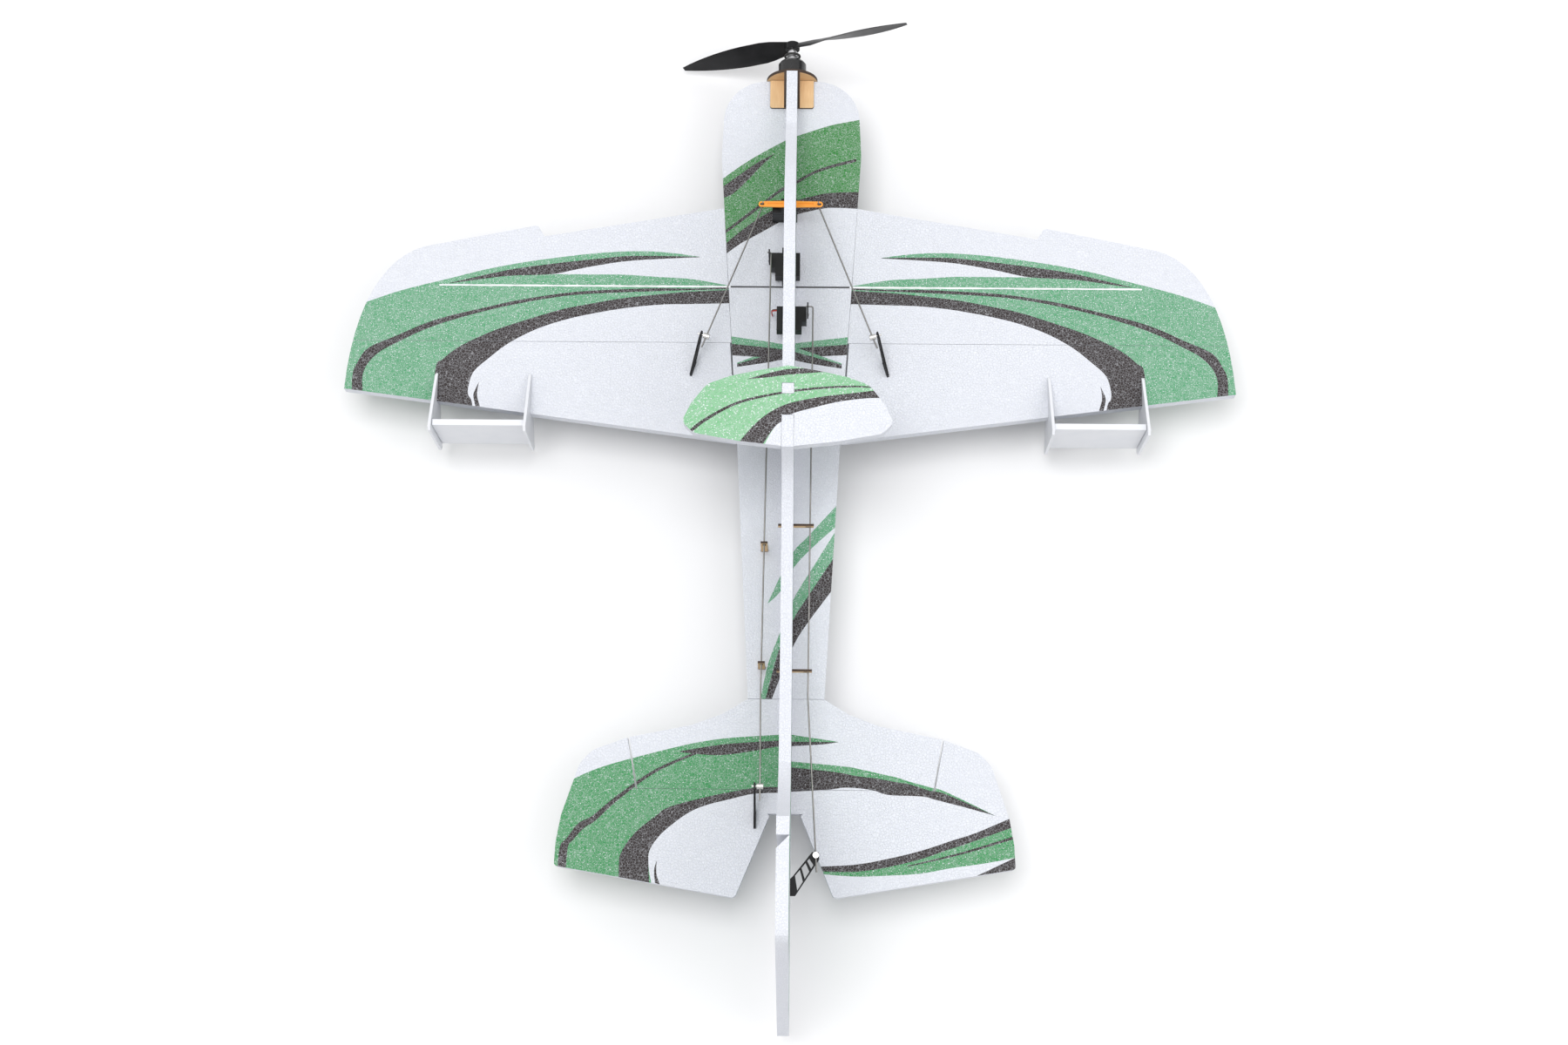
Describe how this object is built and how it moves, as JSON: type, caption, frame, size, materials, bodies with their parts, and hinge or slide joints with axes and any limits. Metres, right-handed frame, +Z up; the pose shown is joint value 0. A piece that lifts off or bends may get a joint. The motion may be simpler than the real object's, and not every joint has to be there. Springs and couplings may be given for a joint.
{
  "type": "rc aerobatic aeroplane",
  "caption": "Flat foam sheet radio control aeroplane with hinged ailerons, elevator and rudder, a spinning propeller, servos, pushrods, air brakes and a belly that rests flat.",
  "frame": {"origin": "on the flat of the belly, on the centreline, straight below the wing spar", "axes": "+X to the right wing tip, +Y to the nose, +Z up; the aeroplane is about 0.80 m wide, 0.91 m long and 0.28 m high"},
  "size_m": [0.8, 0.9098, 0.2594],
  "materials": {
    "foam": "matte",
    "brake_plastic": "satin",
    "carbon": "satin",
    "plywood": "matte",
    "motor_alloy": "satin",
    "motor_black": "satin",
    "steel": "satin",
    "rubber": "matte",
    "propeller_plastic": "satin",
    "servo_plastic": "satin",
    "arm_plastic": "satin",
    "horn_plastic": "matte",
    "battery_wrap": "gloss",
    "strap": "matte"
  },
  "bodies": {
    "airframe": {"fuselage_plate": "foam", "fuselage_side_upper": "foam", "fuselage_side_lower": "foam", "wing_left": "foam", "wing_right": "foam", "tailplane": "foam", "canalyser_plate": "foam", "wing_spar": "carbon", "motor_firewall": "plywood", "mount_plate_left": "plywood", "mount_plate_right": "plywood", "mount_cheek_left": "plywood", "mount_cheek_right": "plywood", "rod_guide_elevator_1": "plywood", "rod_guide_elevator_2": "plywood", "rod_guide_rudder_1": "plywood", "rod_guide_rudder_2": "plywood", "motor_base": "motor_alloy", "motor_screw_left": "steel", "motor_screw_right": "steel", "servo_aileron": "servo_plastic", "servo_elevator": "servo_plastic", "servo_rudder": "servo_plastic", "speed_controller": "servo_plastic", "receiver": "servo_plastic", "battery": "battery_wrap", "battery_strap": "strap"},
    "propeller": {"motor_bell": "motor_black", "motor_shaft": "steel", "prop_saver": "motor_alloy", "saver_o_ring": "rubber", "propeller": "propeller_plastic"},
    "elevator": {"elevator": "foam", "horn_elevator": "horn_plastic"},
    "rudder": {"rudder": "foam", "horn_rudder": "horn_plastic", "tail_skid": "servo_plastic"},
    "aileron_left": {"aileron_left": "foam", "horn_aileron_left": "horn_plastic", "brake_left_inner": "brake_plastic", "brake_left_outer": "brake_plastic", "brake_left_panel": "brake_plastic"},
    "aileron_right": {"aileron_right": "foam", "horn_aileron_right": "horn_plastic", "brake_right_inner": "brake_plastic", "brake_right_outer": "brake_plastic", "brake_right_panel": "brake_plastic"},
    "pushrod_aileron_left": {"pushrod_aileron_left": "steel", "stopper_aileron_left": "steel"},
    "pushrod_aileron_right": {"pushrod_aileron_right": "steel", "stopper_aileron_right": "steel"},
    "pushrod_elevator": {"pushrod_elevator": "steel", "stopper_elevator": "steel"},
    "pushrod_rudder": {"pushrod_rudder": "steel", "stopper_rudder": "steel"},
    "arm_aileron": {"arm_aileron": "arm_plastic"},
    "arm_elevator": {"arm_elevator": "servo_plastic"},
    "arm_rudder": {"arm_rudder": "servo_plastic"}
  },
  "joints": [
    {"name": "propeller_spin", "type": "hinge", "parent": "airframe", "child": "propeller", "pos_m": [0, 0.205, 0.0555], "axis": [0, 1, 0], "continuous": true},
    {"name": "aileron_left_hinge", "type": "hinge", "parent": "airframe", "child": "aileron_left", "pos_m": [-0.2, -0.054, 0.06], "axis": [1, 0, 0], "range_deg": [-25, 25]},
    {"name": "aileron_right_hinge", "type": "hinge", "parent": "airframe", "child": "aileron_right", "pos_m": [0.2, -0.054, 0.06], "axis": [1, 0, 0], "range_deg": [-25, 25]},
    {"name": "arm_aileron_turn", "type": "hinge", "parent": "airframe", "child": "arm_aileron", "pos_m": [0, 0.069, 0.0873], "axis": [0, 0, 1], "range_deg": [-20, 20]},
    {"name": "pushrod_aileron_left_pivot", "type": "hinge", "parent": "aileron_left", "child": "pushrod_aileron_left", "pos_m": [-0.079, -0.054, 0.081], "axis": [1, 0, 0], "range_deg": [-25, 25]},
    {"name": "pushrod_aileron_right_pivot", "type": "hinge", "parent": "aileron_right", "child": "pushrod_aileron_right", "pos_m": [0.079, -0.054, 0.081], "axis": [1, 0, 0], "range_deg": [-25, 25]},
    {"name": "elevator_hinge", "type": "hinge", "parent": "airframe", "child": "elevator", "pos_m": [0, -0.4573, 0.06], "axis": [1, 0, 0], "range_deg": [-35, 35]},
    {"name": "arm_elevator_turn", "type": "hinge", "parent": "airframe", "child": "arm_elevator", "pos_m": [-0.0181, 0.021, 0.07], "axis": [1, 0, 0], "range_deg": [-35, 35]},
    {"name": "pushrod_elevator_pivot", "type": "hinge", "parent": "elevator", "child": "pushrod_elevator", "pos_m": [-0.0256, -0.4573, 0.081], "axis": [1, 0, 0], "range_deg": [-35, 35]},
    {"name": "rudder_hinge", "type": "hinge", "parent": "airframe", "child": "rudder", "pos_m": [0.005, -0.517, 0.06], "axis": [0, 0, 1], "range_deg": [-30, 30]},
    {"name": "arm_rudder_turn", "type": "hinge", "parent": "airframe", "child": "arm_rudder", "pos_m": [0.0154, -0.034, 0.079], "axis": [1, 0, 0], "range_deg": [-27.6, 27.6]},
    {"name": "pushrod_rudder_pivot", "type": "hinge", "parent": "rudder", "child": "pushrod_rudder", "pos_m": [0.026, -0.517, 0.1], "axis": [0, 0, 1], "range_deg": [-30, 30]}
  ],
  "couplings": [
    {"joint": "aileron_right_hinge", "follows": "aileron_left_hinge", "ratio": -1},
    {"joint": "arm_aileron_turn", "follows": "aileron_left_hinge", "ratio": 0.8},
    {"joint": "pushrod_aileron_left_pivot", "follows": "aileron_left_hinge", "ratio": -1},
    {"joint": "pushrod_aileron_right_pivot", "follows": "aileron_left_hinge", "ratio": 1},
    {"joint": "arm_elevator_turn", "follows": "elevator_hinge", "ratio": 1},
    {"joint": "pushrod_elevator_pivot", "follows": "elevator_hinge", "ratio": -1},
    {"joint": "arm_rudder_turn", "follows": "rudder_hinge", "ratio": -0.92},
    {"joint": "pushrod_rudder_pivot", "follows": "rudder_hinge", "ratio": -1}
  ]
}
